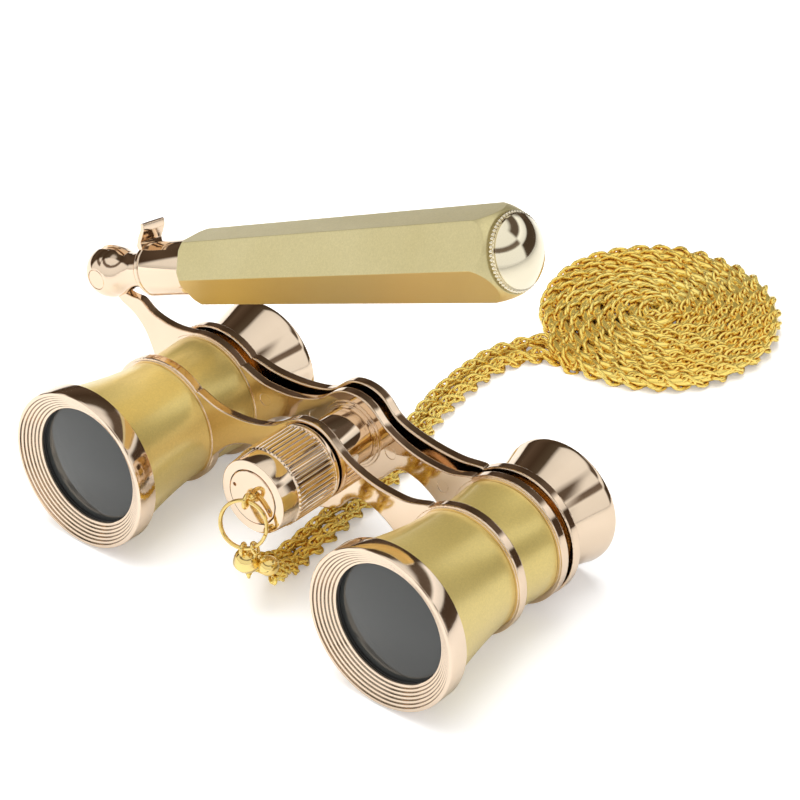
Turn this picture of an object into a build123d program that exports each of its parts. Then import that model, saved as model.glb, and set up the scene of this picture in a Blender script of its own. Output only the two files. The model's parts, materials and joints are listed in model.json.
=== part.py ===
from build123d import *
from math import cos, sin, radians, sqrt
import os

# Opera glasses: two Galilean barrels on a pair of bridges, centre focusing,
# a folding and telescoping handle on the -X side, and a lanyard chain.
# Frame: X across the barrels, +Y along the optical axes towards the eyecups,
# +Z up.  Origin midway between the two barrel axes, in the plane of the
# bezels' front faces.  Front is -Y, rear is +Y; "left" parts are at -X.
# Lengths in millimetres, angles in degrees.

os.makedirs("parts", exist_ok=True)

# ---------------------------------------------------------------- dimensions
barrel_x = 36.94          # barrel axis to the centre plane
knob_z = 7.15             # focus axis above the barrel axes
sides = (("left", -barrel_x), ("right", barrel_x))
barrel_centres = ((-barrel_x, 0), (barrel_x, 0))    # X and Z
focus_centre = (0, knob_z)

# objective end
bezel_r = 16.27           # outside radius of the bezel's cap land
bezel_back = 4.32
aperture_r = 12.0         # clear radius of the objective
aperture_y = 2.47
ridge_count = 6           # turned ridges on the bezel's funnel
ridge_start_r = 15.50     # outer radius of the first ridge
ridge_inset = 0.57        # each ridge's step inwards
ridge_depth = 0.40        # each ridge's step to the rear
cell_r = 13.08            # objective cell, outside
lens_r = 12.5             # 25 mm objective
lens_bore = 12.55

# barrels and bridges; a plate is given by the Y of its front and rear faces
front_plate = (23.90, 26.00)
rear_plate = (36.60, 38.60)
slide_plate = (40.00, 42.10)
ring_r = 13.21            # outside radius of the bridge rings
shoulder_r = 12.72        # shoulders that close on the barrels
tube_r = 11.05            # body tube, outside
tube_bore = 10.30
barrel_bore = tube_r + 0.05
draw_r = 10.22            # draw tube: 0.08 mm radial clearance in the body tube
draw_bore = 9.40

# eyepiece end
eyecup_back = 54.12
eyecup_r = 12.85
eyecup_front_r = 10.25
eye_lens_r = 6.5

# focus train
knob_front = 8.15
knob_back = 23.50
knob_r = 8.0
flutes = 54
flute_r = 0.36
flute_front, flute_back = 12.25, 22.35
disc_r = 5.40
journal_r = 2.95
journal_bore = 3.00
screw_r = 2.40
nut_r = 4.20
nut_bore = 2.45
centre_tube_r = 5.70
cap_r = 6.10

# folding handle: distances along it are measured from the pivot
pivot_x, pivot_y, pivot_z = -63.55, 37.60, 17.32
pivot_centre = (pivot_x, pivot_z)
lean = 23.5               # the handle's rise above +X
ball_r = 5.30
neck_r = 3.45
tongue_r = 4.60
pin_r = 1.50
pin_head_r = 2.10
pin_seat = 3.30           # counterbore floors, from the middle plane
flat_half = 4.75          # pin ends and the ball's flats, from the middle plane
slot_half = 1.10
slot_end = 6.00
collar_front = 11.60      # fold latch's collar, along the handle
collar_back = 13.38
latch_bore = neck_r + 0.05
cap_start = 13.50         # ferrule and inner tube start here
ferrule_r = 5.45
inner_r = 4.60
inner_bore = 3.80
sleeve_start = 26.2
sleeve_end = 106.3
sleeve_bore = 5.57

# lanyard
loop_y = 6.40             # eyelet loop centre, on the focus axis
ring_turn = 18.0          # how far the split ring is turned about Z
ring_lean = 15.0          # how far it leans away from the knob
ring_mean_r = 4.60
ring_wire_r = 0.36
strand_r = 1.15
coil_x, coil_y = 6.5, 131.3
coil_r = 26.2
coil_h = 4.2

# table plane the glasses and the chain rest on, rising towards +Y
rest_slope = (bezel_r - eyecup_r) / (eyecup_back - 0.3 - bezel_back)


def rest_z(y):
    return -bezel_r + rest_slope * (y - bezel_back)


# ------------------------------------------------------- frames and helpers
def turning(x, z=0.0):
    """Half-section plane (local x is the radius, local y is Y) and axis of a
    part turned about a line along Y."""
    half_plane = Plane(origin=(x, 0, z), x_dir=(1, 0, 0), z_dir=(0, 0, 1))
    return half_plane, Axis((x, 0, z), (0, 1, 0))


def across(y):
    """Plane facing -Y at the given Y: local x is X, local y is Z."""
    return Plane(origin=(0, y, 0), x_dir=(1, 0, 0), z_dir=(0, -1, 0))


pivot = Vector(pivot_x, pivot_y, pivot_z)
handle_dir = Vector(cos(radians(lean)), 0, sin(radians(lean)))
handle_up = Vector(-sin(radians(lean)), 0, cos(radians(lean)))
handle_axis = Axis(pivot, handle_dir)
# half-section of parts turned about the handle: local x radius, local y along
handle_half = Plane(origin=pivot, x_dir=handle_up, z_dir=(0, 1, 0))

focus_half, focus_axis = turning(0, knob_z)


def handle_at(distance):
    """Plane across the handle: local x is Y, local y is up."""
    return Plane(origin=pivot + handle_dir * distance, x_dir=(0, 1, 0), z_dir=handle_dir)


def dome_mid(rim_r, y_rim, y_pole):
    """Point at half the rim's radius on the spherical arc from rim to pole."""
    rise = y_pole - y_rim
    sphere_r = (rim_r * rim_r + rise * rise) / (2 * rise)
    root = sqrt(sphere_r * sphere_r - rim_r * rim_r / 4)
    return (rim_r / 2, y_pole - sphere_r + (root if rise > 0 else -root))


def save(part, name):
    part.label = name
    export_step(part, f"parts/{name}.step")


def turned(name, half, axis, profile):
    """Make a turned part from a closed polygon of (radius, place along axis)."""
    with BuildPart() as piece:
        with BuildSketch(half):
            with BuildLine():
                Polyline(*profile, close=True)
            make_face()
        revolve(axis=axis)
    save(piece.part, name)


def tube(name, half, axis, bore, outer, start, end):
    """Make a plain tube from its two radii and its ends along the axis."""
    turned(name, half, axis, [(bore, start), (outer, start), (outer, end), (bore, end)])


# =============================================================== both barrels
# Bezel: polished ring with a straight land for a cap, turned ridges that
# funnel in to the aperture, and a spigot that holds the front barrel.
bezel_profile = [
    (13.95, 9.50), (13.95, bezel_back), (bezel_r - 0.12, bezel_back),
    (bezel_r, bezel_back - 0.12), (bezel_r, 0.85), (bezel_r - 0.10, 0.35),
    (bezel_r - 0.35, 0.08), (bezel_r - 0.62, 0.0), (ridge_start_r, 0.0)]
for i in range(ridge_count):
    ridge_r = ridge_start_r - i * ridge_inset
    ridge_y = i * ridge_depth
    bezel_profile += [(ridge_r - 0.06, ridge_y + 0.44), (ridge_r - 0.18, ridge_y + 0.30),
                      (ridge_r - ridge_inset, ridge_y + ridge_depth)]
bezel_profile += [(aperture_r, aperture_y), (aperture_r, 2.90), (13.10, 2.90), (13.10, 9.50)]

for side, side_x in sides:
    half, axis = turning(side_x)

    turned(f"{side}_objective_bezel", half, axis, bezel_profile)

    # Blackened cell: narrow lip behind the bezel, then the lens's counterbore.
    turned(f"{side}_objective_cell", half, axis, [
        (cell_r, 9.40), (cell_r, 2.95), (12.05, 2.95), (12.05, 3.16), (12.20, 3.28),
        (12.05, 3.40), (12.05, 3.60), (lens_bore, 3.60), (lens_bore, 9.40)])

    # Objective: biconvex.
    lens_front, rim_front, rim_back, lens_back = 2.80, 3.75, 5.25, 5.83
    with BuildPart() as objective_lens:
        with BuildSketch(half):
            with BuildLine():
                ThreePointArc((0, lens_front), dome_mid(lens_r, rim_front, lens_front),
                              (lens_r, rim_front))
                Line((lens_r, rim_front), (lens_r, rim_back))
                ThreePointArc((lens_r, rim_back), dome_mid(lens_r, rim_back, lens_back),
                              (0, lens_back))
                Line((0, lens_back), (0, lens_front))
            make_face()
        revolve(axis=axis)
    save(objective_lens.part, f"{side}_objective_lens")

    # Ring behind the objective.
    turned(f"{side}_objective_lens_ring", half, axis, [
        (12.52, 5.30), (12.52, 7.10), (11.40, 7.10),
        (11.40, 5.80), (11.70, 5.45), (12.20, 5.36)])

    # Front barrel: thin flared shell, slightly hollow in outline.
    # Outline: radius and Y, front to rear.
    outline = [(15.35, 4.36), (14.22, 9.2), (13.28, 14.2), (12.58, 19.2), (12.17, 23.74)]
    with BuildPart() as front_barrel:
        with BuildSketch(half):
            with BuildLine():
                Spline(*outline)
                Polyline(outline[-1], (barrel_bore, 23.74), (barrel_bore, 18.20),
                         (13.00, 10.20), (14.00, 10.20), (14.00, 4.36), outline[0])
            make_face()
        revolve(axis=axis)
    save(front_barrel.part, f"{side}_front_barrel")

    # Body tube: hidden tube that strings barrels and bridge rings together.
    tube(f"{side}_body_tube", half, axis, tube_bore, tube_r, 20.0, rear_plate[1])

    # Rear barrel: short shell between the front and rear bridge rings.
    # Outline: radius and Y, front to rear.
    outline = [(11.85, 26.04), (11.80, 29.5), (11.92, 33.2), (12.16, 36.46)]
    with BuildPart() as rear_barrel:
        with BuildSketch(half):
            with BuildLine():
                Spline(*outline)
                Polyline(outline[-1], (barrel_bore, 36.46), (barrel_bore, 26.04), outline[0])
            make_face()
        revolve(axis=axis)
    save(rear_barrel.part, f"{side}_rear_barrel")

    # Draw tube: slides in the body tube and carries the eyecup.
    turned(f"{side}_draw_tube", half, axis, [
        (draw_bore, 27.0), (draw_r - 0.2, 27.0), (draw_r, 27.3),
        (draw_r, slide_plate[1]), (draw_bore, slide_plate[1])])

    # Eyecup: polished flared cone with a spigot inside the draw tube.
    spigot_r = draw_bore - 0.02
    cone_y = slide_plate[1] + 0.04
    with BuildPart() as eyecup:
        with BuildSketch(half):
            with BuildLine():
                Line((8.60, 37.2), (spigot_r, 37.2))
                Line((spigot_r, 37.2), (spigot_r, cone_y))
                Line((spigot_r, cone_y), (eyecup_front_r, cone_y))
                Spline((eyecup_front_r, cone_y), (10.85, 45.2), (11.75, 49.2),
                       (eyecup_r, 53.20))
                Line((eyecup_r, 53.20), (eyecup_r, 53.72))
                ThreePointArc((eyecup_r, 53.72), (12.74, 54.0), (12.48, eyecup_back))
                Line((12.48, eyecup_back), (12.20, eyecup_back))
                ThreePointArc((12.20, eyecup_back), (11.98, 54.0), (11.90, 53.70))
                Line((11.90, 53.70), (9.45, 43.20))
                Line((9.45, 43.20), (8.60, 43.20))
                Line((8.60, 43.20), (8.60, 37.2))
            make_face()
        revolve(axis=axis)
    save(eyecup.part, f"{side}_eyecup")

    # Black eyepiece cell: dished cup that seats the eye lens.
    turned(f"{side}_eyepiece_cell", half, axis, [
        (5.90, 43.25), (9.40, 43.25), (11.72, 53.20), (11.10, 53.50), (10.60, 53.20),
        (7.60, 47.60), (6.95, 47.40), (6.95, 47.00), (6.55, 46.95), (6.55, 43.95),
        (5.90, 43.95)])

    # Eye lens: biconcave, with a flat rim outside each hollow.
    hollow_r = 5.9
    rim_front, hollow_front, hollow_back, rim_back = 44.0, 44.65, 45.55, 46.05
    with BuildPart() as eye_lens:
        with BuildSketch(half):
            with BuildLine():
                Line((0, hollow_front), (0, hollow_back))
                ThreePointArc((0, hollow_back), dome_mid(hollow_r, rim_back, hollow_back),
                              (hollow_r, rim_back))
                Line((hollow_r, rim_back), (eye_lens_r, rim_back))
                Line((eye_lens_r, rim_back), (eye_lens_r, rim_front))
                Line((eye_lens_r, rim_front), (hollow_r, rim_front))
                ThreePointArc((hollow_r, rim_front),
                              dome_mid(hollow_r, rim_front, hollow_front), (0, hollow_front))
            make_face()
        revolve(axis=axis)
    save(eye_lens.part, f"{side}_eye_lens")

    # Ring behind the eye lens.
    turned(f"{side}_eye_lens_ring", half, axis, [
        (5.85, 46.10), (6.52, 46.10), (6.52, 46.90), (6.15, 46.90), (5.85, 46.55)])


# ==================================================================== bridges
def strap_top(lift, hub_top):
    """Upper edge of a strap from the hub to the +X ring, in X and Z."""
    return [(0, hub_top), (3.2, hub_top - 0.60), (5.2, hub_top - 1.80),
            (7.2, 12.45 + 0.35 * lift), (9.4, 11.05 + 0.5 * lift),
            (12.4, 9.85 + 0.8 * lift), (16.2, 9.00 + lift), (20.4, 8.70 + lift),
            (24.6, 9.15 + 0.8 * lift), (28.2, 10.30 + 0.4 * lift), (32.4, 11.20)]


# lower edge of every strap from the +X ring back to the hub, in X and Z
strap_bottom = [
    (25.6, -5.5), (22.9, -1.4), (20.6, 1.05), (17.6, 3.05), (14.4, 4.15),
    (11.6, 4.10), (9.6, 2.6), (7.6, 0.2), (4.2, -1.55), (0, -2.0)]
strap_root = (33.0, 0)    # corner inside the ring that closes the outline


def strap_outline(top):
    """The +X half of a bridge's strap; called inside a BuildLine."""
    Spline(*top, tangents=((1, 0), (1, 0.40)))
    Line(top[-1], strap_root)
    Line(strap_root, strap_bottom[0])
    Spline(*strap_bottom, tangents=((-0.40, 1), (-1, 0)))
    Line(strap_bottom[-1], top[0])


# Front bridge: fixed plate with two rings, and the hub the knob turns against.
with BuildPart() as front_bridge:
    with BuildSketch(across(front_plate[1])):
        with Locations(*barrel_centres):
            Circle(ring_r)
        with BuildLine():
            strap_outline(strap_top(lift=0.0, hub_top=15.80))
        make_face()
        mirror(about=Plane.YZ)
    extrude(amount=front_plate[1] - front_plate[0])
    edge_groups = front_bridge.edges().group_by(Axis.Y)
    fillet(edge_groups[0] + edge_groups[-1], 0.30)
    # shoulders that close on the front barrels
    with BuildSketch(across(front_plate[0] + 0.2)):
        with Locations(*barrel_centres):
            Circle(shoulder_r)
    extrude(amount=0.34)
    # bores for the body tubes and the screw's journal
    with BuildSketch(across(front_plate[1] + 1)):
        with Locations(*barrel_centres):
            Circle(barrel_bore)
        with Locations(focus_centre):
            Circle(journal_bore)
    extrude(amount=5, mode=Mode.SUBTRACT)
save(front_bridge.part, "front_bridge")

# Rear bridge: fixed plate, boss round the centre tube, and the arm whose
# round tongue sits in the handle's fork.
# Arm edges in X and Z: upper from the tongue to the -X ring, lower back again.
arm_upper = [
    (pivot_x + 3.10, pivot_z - 2.45), (pivot_x + 5.20, pivot_z - 3.00),
    (pivot_x + 6.70, pivot_z - 3.00), (-55.50, 14.42), (-52.80, 12.95),
    (-50.00, 12.05), (-47.00, 11.75), (-44.20, 11.95), (-41.40, 12.45), (-38.40, 12.70)]
arm_lower = [
    (-49.10, -4.30), (-50.55, -0.20), (-51.35, 2.60), (-52.45, 5.10), (-53.75, 7.45),
    (-55.60, 9.50), (-58.20, 11.15), (-60.40, 12.00), (pivot_x + 1.60, pivot_z - 3.80)]
arm_root = (arm_upper[-1][0], 0)                  # corner inside the ring
arm_tip = (pivot_x + 1.60, pivot_z - 1.5)         # corner inside the tongue
mark_centres = ((-9.4, 6.9), (9.4, 6.9), (-22.0, 5.2), (22.0, 5.2))
with BuildPart() as rear_bridge:
    with BuildSketch(across(rear_plate[1])):
        with Locations(*barrel_centres):
            Circle(ring_r)
        with BuildLine():
            strap_outline(strap_top(lift=-0.15, hub_top=16.00))
        make_face()
        mirror(about=Plane.YZ)
        with BuildLine():
            Spline(*arm_upper)
            Line(arm_upper[-1], arm_root)
            Line(arm_root, arm_lower[0])
            Spline(*arm_lower)
            Line(arm_lower[-1], arm_tip)
            Line(arm_tip, arm_upper[0])
        make_face()
        with Locations(pivot_centre):
            Circle(tongue_r)
    extrude(amount=rear_plate[1] - rear_plate[0])
    edge_groups = rear_bridge.edges().group_by(Axis.Y)
    fillet(edge_groups[0] + edge_groups[-1], 0.25)
    # shoulders that close on the rear barrels
    with BuildSketch(across(rear_plate[0] + 0.2)):
        with Locations(*barrel_centres):
            Circle(shoulder_r)
    extrude(amount=0.30)
    # stepped boss round the centre tube
    with BuildSketch(across(rear_plate[0] + 0.2)):
        with Locations(focus_centre):
            Circle(6.90)
    extrude(amount=0.55)
    with BuildSketch(across(rear_plate[0] - 0.30)):
        with Locations(focus_centre):
            Circle(6.30)
    extrude(amount=0.45)
    # shallow round marks in the strap's front face
    with BuildSketch(across(rear_plate[0] + 0.07)):
        with Locations(*mark_centres):
            Circle(1.30)
    extrude(amount=1, mode=Mode.SUBTRACT)
    # bores for the body tubes, the nut and the hinge pin
    with BuildSketch(across(rear_plate[1] + 1)):
        with Locations(*barrel_centres):
            Circle(barrel_bore)
        with Locations(focus_centre):
            Circle(nut_r + 0.06)
        with Locations(pivot_centre):
            Circle(pin_r + 0.04)
    extrude(amount=8, mode=Mode.SUBTRACT)
    # the boss's wider bore, round the centre tube's end
    with BuildSketch(across(rear_plate[0] - 0.02)):
        with Locations(focus_centre):
            Circle(centre_tube_r + 0.03)
    extrude(amount=2, mode=Mode.SUBTRACT)
save(rear_bridge.part, "rear_bridge")

# Sliding bridge: carries both eyepieces and the focusing nut.
with BuildPart() as sliding_bridge:
    # this strap meets its ring a little lower than the others
    slide_top = strap_top(lift=1.15, hub_top=16.65)[:-2] + [(28.4, 10.5), (32.4, 11.0)]
    with BuildSketch(across(slide_plate[1])):
        with Locations(*barrel_centres):
            Circle(ring_r + 0.15)
        with BuildLine():
            strap_outline(slide_top)
        make_face()
        mirror(about=Plane.YZ)
    extrude(amount=slide_plate[1] - slide_plate[0])
    edge_groups = sliding_bridge.edges().group_by(Axis.Y)
    fillet(edge_groups[0] + edge_groups[-1], 0.30)
    # bores for the draw tubes and the nut
    with BuildSketch(across(slide_plate[1] + 1)):
        with Locations(*barrel_centres):
            Circle(draw_r + 0.03)
        with Locations(focus_centre):
            Circle(nut_r + 0.03)
    extrude(amount=5, mode=Mode.SUBTRACT)
save(sliding_bridge.part, "sliding_bridge")

# =============================================================== focus train
# Centre tube: spaces the two fixed bridges and covers the lead screw.
tube("centre_tube", focus_half, focus_axis, 4.70, centre_tube_r,
     front_plate[1] + 0.02, rear_plate[0] - 0.02)

# Focus knob: smooth nose, straight-fluted grip, smooth rear collar.
knob_profile = [
    (5.62, knob_front), (7.30, knob_front), (7.50, knob_front + 0.22),
    (7.86, 12.10), (7.86, 12.30), (knob_r + 0.08, 12.55), (knob_r + 0.08, 22.10),
    (7.86, 22.30), (7.86, 22.42), (knob_r, 22.60), (knob_r, knob_back - 0.25),
    (knob_r - 0.25, knob_back), (3.02, knob_back), (3.02, 21.90),
    (screw_r + 0.02, 21.90), (screw_r + 0.02, 11.20), (5.45, 11.20), (5.45, 8.75),
    (5.62, 8.65)]
with BuildPart() as focus_knob:
    with BuildSketch(focus_half):
        with BuildLine():
            Polyline(*knob_profile, close=True)
        make_face()
    revolve(axis=focus_axis)
    # flutes
    with BuildSketch(across(flute_back)):
        with Locations(focus_centre):
            with PolarLocations(knob_r + 0.22, flutes):
                Circle(flute_r)
    extrude(amount=flute_back - flute_front, mode=Mode.SUBTRACT)
save(focus_knob.part, "focus_knob")

# End disc: closes the knob's nose, with two spanner holes, and holds the
# eyelet's stem.
with BuildPart() as knob_end_disc:
    with BuildSketch(focus_half):
        with BuildLine():
            Polyline((0.86, 7.95), (disc_r - 0.12, 7.95), (disc_r, 8.07),
                     (disc_r, 9.70), (0.86, 9.70), close=True)
        make_face()
    revolve(axis=focus_axis)
    with BuildSketch(across(8.9)):
        with Locations((-4.23, knob_z + 1.08), (4.23, knob_z - 1.08)):
            Circle(0.38)
    extrude(amount=2, mode=Mode.SUBTRACT)
save(knob_end_disc.part, "knob_end_disc")

# Lead screw: journal in the front bridge, plain threaded length in the nut.
turned("focus_screw", focus_half, focus_axis, [
    (0, 11.40), (screw_r, 11.40), (screw_r, 21.95), (journal_r, 21.95),
    (journal_r, front_plate[1] + 0.05), (screw_r, front_plate[1] + 0.05),
    (screw_r, 38.20), (screw_r - 0.3, 38.50), (0, 38.50)])

# Clip behind the front bridge that keeps the screw from drawing out.
tube("screw_clip", focus_half, focus_axis, screw_r + 0.02, 4.40, 26.10, 27.10)

# Focusing nut: long sleeve fixed in the sliding bridge.
tube("focus_nut", focus_half, focus_axis, nut_bore, nut_r, 28.50, slide_plate[1])

# Domed cap over the nut's rear end.
cap_front, cap_rim, cap_pole = slide_plate[1] + 0.03, 42.75, 44.20
with BuildPart() as nut_cap:
    with BuildSketch(focus_half):
        with BuildLine():
            Line((0, cap_front), (cap_r, cap_front))
            Line((cap_r, cap_front), (cap_r, cap_rim))
            ThreePointArc((cap_r, cap_rim), dome_mid(cap_r, cap_rim, cap_pole), (0, cap_pole))
            Line((0, cap_pole), (0, cap_front))
        make_face()
    revolve(axis=focus_axis)
save(nut_cap.part, "nut_cap")

# ============================================================ folding handle
# Knuckle: ball with flats at the pin's ends, slotted for the bridge's tongue,
# waisted neck, shoulder, collar seat and a spigot inside the inner tube.
ball_mid = (ball_r * 0.94, -ball_r * sqrt(1 - 0.94**2))
ball_end = (4.95, sqrt(ball_r**2 - 4.95**2))
with BuildPart() as hinge_knuckle:
    with BuildSketch(handle_half):
        with BuildLine():
            ThreePointArc((0, -ball_r), ball_mid, ball_end)
            Spline(ball_end, (4.45, 3.7), (3.75, 5.4), (neck_r, 7.2), (neck_r, 8.6))
            Polyline((neck_r, 8.6), (neck_r, 10.70), (4.15, 10.80), (4.30, 10.95),
                     (4.30, 11.35), (4.15, 11.50), (neck_r, 11.50),
                     (neck_r, 13.45), (3.75, 13.45), (3.75, 24.0), (0, 24.0),
                     (0, -ball_r))
        make_face()
    revolve(axis=handle_axis)
    # flats across the pin, each cut 3 mm outwards
    for rear_face in (pivot_y - flat_half, pivot_y + flat_half + 3):
        with BuildSketch(across(rear_face)):
            with Locations(pivot_centre):
                Rectangle(14, 14)
        extrude(amount=3, mode=Mode.SUBTRACT)
    # slot for the tongue
    with BuildSketch(Plane(origin=(pivot_x, pivot_y + slot_half, pivot_z),
                           x_dir=handle_dir, z_dir=(0, -1, 0))):
        with Locations((-1.0, 0)):
            Rectangle(2 * (slot_end + 1.0), 16)
    extrude(amount=2 * slot_half, mode=Mode.SUBTRACT)
    # pin bore, counterbored for the heads
    with BuildSketch(across(pivot_y + 6)):
        with Locations(pivot_centre):
            Circle(pin_r + 0.01)
    extrude(amount=12, mode=Mode.SUBTRACT)
    for rear_face in (pivot_y - pin_seat, pivot_y + pin_seat + 2):
        with BuildSketch(across(rear_face)):
            with Locations(pivot_centre):
                Circle(pin_head_r + 0.02)
        extrude(amount=2, mode=Mode.SUBTRACT)
    # bore for the detent
    with BuildSketch(handle_at(slot_end - 1.0)):
        Circle(1.15)
    extrude(amount=12.2, mode=Mode.SUBTRACT)
save(hinge_knuckle.part, "hinge_knuckle")

# Hinge pin: a head at each end, seated in the knuckle's counterbores.
pin_front, pin_back = pivot_y - flat_half, pivot_y + flat_half
head_seat = pin_seat + 0.02
turned("hinge_pin", *turning(pivot_x, pivot_z), [
    (0, pin_front), (pin_head_r - 0.15, pin_front), (pin_head_r, pin_front + 0.12),
    (pin_head_r, pivot_y - head_seat), (pin_r, pivot_y - head_seat),
    (pin_r, pivot_y + head_seat), (pin_head_r, pivot_y + head_seat),
    (pin_head_r, pin_back - 0.12), (pin_head_r - 0.15, pin_back), (0, pin_back)])

# Spring plunger that bears on the tongue's rim.
plunger_tip = (0, tongue_r + 0.03)
with BuildPart() as detent_plunger:
    with BuildSketch(handle_half):
        with BuildLine():
            ThreePointArc(plunger_tip, (0.55, 4.76), (0.95, 5.15))
            Polyline((0.95, 5.15), (1.08, 5.60), (1.08, 11.0), (0, 11.0), plunger_tip)
        make_face()
    revolve(axis=handle_axis)
save(detent_plunger.part, "detent_plunger")

# Coil spring behind the plunger.
with BuildPart() as detent_spring:
    with BuildLine() as coil_line:
        Helix(pitch=0.95, height=5.4, radius=0.82,
              center=tuple(pivot + handle_dir * 11.3), direction=tuple(handle_dir))
    with BuildSketch(Plane(origin=coil_line.line @ 0, z_dir=coil_line.line % 0)):
        Circle(0.20)
    sweep(path=coil_line.line, is_frenet=True)
save(detent_spring.part, "detent_spring")

# Fold latch: collar that turns on the neck, with a curled thumb tab.
tab_angle = radians(82.6)     # the tab's place, from +Y towards the handle's upper side
tab_half = 2.85               # half the tab's width
y_dir = Vector(0, 1, 0)
tab_out = handle_up * sin(tab_angle) + y_dir * cos(tab_angle)
tab_side = handle_up * cos(tab_angle) - y_dir * sin(tab_angle)
with BuildPart() as fold_latch:
    with BuildSketch(handle_half):
        with BuildLine():
            Polyline((latch_bore, collar_front), (4.55, collar_front), (5.10, 11.95),
                     (5.35, 12.45), (5.35, 13.20), (5.20, collar_back),
                     (latch_bore, collar_back), close=True)
        make_face()
    revolve(axis=handle_axis)
    # tab: leans back over the ferrule, its end turned flat for the thumb;
    # local x is outwards and local y is along the handle
    with BuildSketch(Plane(origin=pivot + tab_side * tab_half, x_dir=tab_out,
                           z_dir=tab_side * -1)):
        with BuildLine():
            Polyline((4.60, 12.30), (5.40, 12.10), (7.10, 13.00), (8.30, 14.00))
            ThreePointArc((8.30, 14.00), (8.78, 14.24), (9.30, 14.30))
            ThreePointArc((9.30, 14.30), (9.72, 14.75), (9.30, 15.20))
            ThreePointArc((9.30, 15.20), (8.65, 15.12), (8.05, 14.90))
            Polyline((8.05, 14.90), (6.90, 14.10), (5.95, 13.36), (4.60, 13.36),
                     (4.60, 12.30))
        make_face()
    extrude(amount=2 * tab_half)
    # keep the running bore clear
    with BuildSketch(handle_at(11.0)):
        Circle(latch_bore)
    extrude(amount=3.0, mode=Mode.SUBTRACT)
save(fold_latch.part, "fold_latch")

# Ferrule round the inner tube's lower end.
turned("ferrule", handle_half, handle_axis, [
    (inner_r + 0.03, cap_start), (5.10, cap_start), (ferrule_r, cap_start + 0.40),
    (ferrule_r, 25.35), (ferrule_r - 0.25, 25.60), (inner_r + 0.03, 25.60)])

# Inner tube: the sleeve telescopes over it.
tube("inner_tube", handle_half, handle_axis, inner_bore, inner_r, cap_start, 98.0)

# Bush on the inner tube's end; runs in the sleeve's bore.
bush_r = sleeve_bore - 0.07
turned("slide_bush", handle_half, handle_axis, [
    (inner_r + 0.02, 92.0), (bush_r - 0.2, 92.0), (bush_r, 92.3),
    (bush_r, 97.2), (bush_r - 0.2, 97.5), (inner_r + 0.02, 97.5)])

# Guide ring fixed in the sleeve's mouth; runs on the inner tube.
tube("sleeve_guide", handle_half, handle_axis, inner_r + 0.06, sleeve_bore - 0.02,
     26.6, 31.0)


def hex_r(distance):
    """Corner radius of the hexagonal sleeve at a distance along the handle."""
    return 7.20 + 0.01943 * (distance - 15.0)


# Hexagonal sleeve, widening outwards, its end turned to a rounded shoulder.
with BuildPart() as handle_sleeve:
    with BuildSketch(handle_at(sleeve_start)):
        RegularPolygon(hex_r(sleeve_start), 6)
    with BuildSketch(handle_at(sleeve_end)):
        RegularPolygon(hex_r(sleeve_end), 6)
    loft()
    # turned envelope that trims the corners at both ends and opens the bore
    with BuildSketch(handle_half):
        with BuildLine():
            Polyline((sleeve_bore, sleeve_start), (6.75, sleeve_start), (7.60, 27.3),
                     (10.5, 40.0), (10.5, 96.0), (9.05, 100.6))
            ThreePointArc((9.05, 100.6), (8.55, 104.2), (7.45, sleeve_end))
            Polyline((7.45, sleeve_end), (sleeve_bore, sleeve_end),
                     (sleeve_bore, sleeve_start))
        make_face()
    revolve(axis=handle_axis, mode=Mode.INTERSECT)
save(handle_sleeve.part, "handle_sleeve")

# Beaded ring between sleeve and dome: 40 scallops cut in its rim.
bead_start, bead_end = sleeve_end + 0.03, sleeve_end + 1.15
with BuildPart() as beaded_ring:
    with BuildSketch(handle_half):
        with BuildLine():
            Polyline((5.62, bead_start), (7.05, bead_start), (7.20, sleeve_end + 0.20),
                     (7.20, sleeve_end + 0.95), (7.05, bead_end), (5.62, bead_end),
                     close=True)
        make_face()
    revolve(axis=handle_axis)
    with BuildSketch(handle_at(sleeve_end)):
        with PolarLocations(7.40, 40):
            Circle(0.34)
    extrude(amount=1.4, mode=Mode.SUBTRACT)
save(beaded_ring.part, "beaded_ring")

# Polished dome, a low spherical cap, with a spigot in the sleeve.
dome_base = bead_end + 0.03
dome_rim = dome_base + 0.20
dome_pole = dome_base + 2.90
dome_r = 6.60
spigot_start, spigot_r = 99.2, sleeve_bore - 0.03
with BuildPart() as handle_dome:
    with BuildSketch(handle_half):
        with BuildLine():
            Polyline((0, spigot_start), (spigot_r, spigot_start), (spigot_r, dome_base),
                     (dome_r, dome_base), (dome_r, dome_rim))
            ThreePointArc((dome_r, dome_rim), dome_mid(dome_r, dome_rim, dome_pole),
                          (0, dome_pole))
            Line((0, dome_pole), (0, spigot_start))
        make_face()
    revolve(axis=handle_axis)
save(handle_dome.part, "handle_dome")

# ==================================================================== lanyard
cos_turn, sin_turn = cos(radians(ring_turn)), sin(radians(ring_turn))
cos_lean, sin_lean = cos(radians(ring_lean)), sin(radians(ring_lean))
loop_centre = Vector(0, loop_y, knob_z)
# level line in the split ring's plane, steepest line in it, and its normal
ring_across = Vector(cos_turn, sin_turn, 0)
ring_down = Vector(sin_turn * sin_lean, -cos_turn * sin_lean, -cos_lean)
ring_normal = Vector(sin_turn * cos_lean, -cos_turn * cos_lean, sin_lean)
ring_centre = loop_centre + ring_down * ring_mean_r


def on_ring(degrees_round):
    """Point on the ring's wire, and the wire's direction there; the angle is
    measured from the ring's lowest point."""
    angle = radians(degrees_round)
    outwards = ring_down * cos(angle) + ring_across * sin(angle)
    wire_dir = ring_across * cos(angle) - ring_down * sin(angle)
    return ring_centre + outwards * ring_mean_r, wire_dir


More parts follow.
